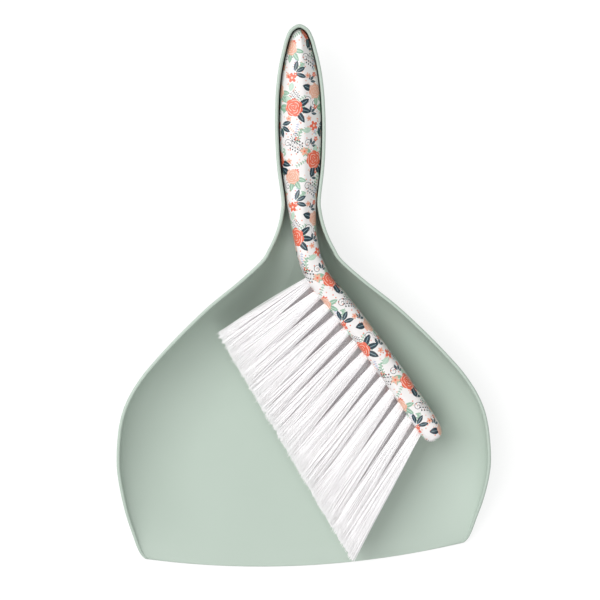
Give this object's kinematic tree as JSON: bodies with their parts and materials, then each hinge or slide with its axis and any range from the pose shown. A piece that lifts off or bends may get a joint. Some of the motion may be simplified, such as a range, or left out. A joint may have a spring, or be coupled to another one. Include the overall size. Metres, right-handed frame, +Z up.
{
  "type": "dust pan and brush set",
  "caption": "Deep curved dust pan with a trough-shaped handle, and a hand brush with an angled head whose grip nests in that handle.",
  "frame": {"origin": "on the table, under the middle of the set's length and width", "axes": "+Y from the lip towards the handle's end, +Z up out of the pan, +X to the side the brush head leans to"},
  "size_m": [0.228, 0.33, 0.045],
  "materials": {
    "sage_plastic": "satin moulded polypropylene, sage green",
    "printed_plastic": "glossy white moulding with a transfer-printed flower pattern",
    "white_filament": "white polyester brush filament",
    "flat_wire": "bright flat wire"
  },
  "bodies": {
    "pan": {"dust_pan": "sage_plastic"},
    "brush": {"brush_body": "printed_plastic", "tuft_upper_01": "white_filament", "tuft_upper_02": "white_filament", "tuft_upper_03": "white_filament", "tuft_upper_04": "white_filament", "tuft_upper_05": "white_filament", "tuft_upper_06": "white_filament", "tuft_upper_07": "white_filament", "tuft_upper_08": "white_filament", "tuft_upper_09": "white_filament", "tuft_upper_10": "white_filament", "tuft_upper_11": "white_filament", "tuft_upper_12": "white_filament", "tuft_upper_13": "white_filament", "tuft_lower_01": "white_filament", "tuft_lower_02": "white_filament", "tuft_lower_03": "white_filament", "tuft_lower_04": "white_filament", "tuft_lower_05": "white_filament", "tuft_lower_06": "white_filament", "tuft_lower_07": "white_filament", "tuft_lower_08": "white_filament", "tuft_lower_09": "white_filament", "tuft_lower_10": "white_filament", "tuft_lower_11": "white_filament", "tuft_lower_12": "white_filament", "anchor_upper_01": "flat_wire", "anchor_upper_02": "flat_wire", "anchor_upper_03": "flat_wire", "anchor_upper_04": "flat_wire", "anchor_upper_05": "flat_wire", "anchor_upper_06": "flat_wire", "anchor_upper_07": "flat_wire", "anchor_upper_08": "flat_wire", "anchor_upper_09": "flat_wire", "anchor_upper_10": "flat_wire", "anchor_upper_11": "flat_wire", "anchor_upper_12": "flat_wire", "anchor_upper_13": "flat_wire", "anchor_lower_01": "flat_wire", "anchor_lower_02": "flat_wire", "anchor_lower_03": "flat_wire", "anchor_lower_04": "flat_wire", "anchor_lower_05": "flat_wire", "anchor_lower_06": "flat_wire", "anchor_lower_07": "flat_wire", "anchor_lower_08": "flat_wire", "anchor_lower_09": "flat_wire", "anchor_lower_10": "flat_wire", "anchor_lower_11": "flat_wire", "anchor_lower_12": "flat_wire"}
  },
  "joints": [
    {"name": "brush_lift", "type": "slide", "parent": "pan", "child": "brush", "axis": [0, 0, 1], "range_m": [0, 0.12]}
  ]
}
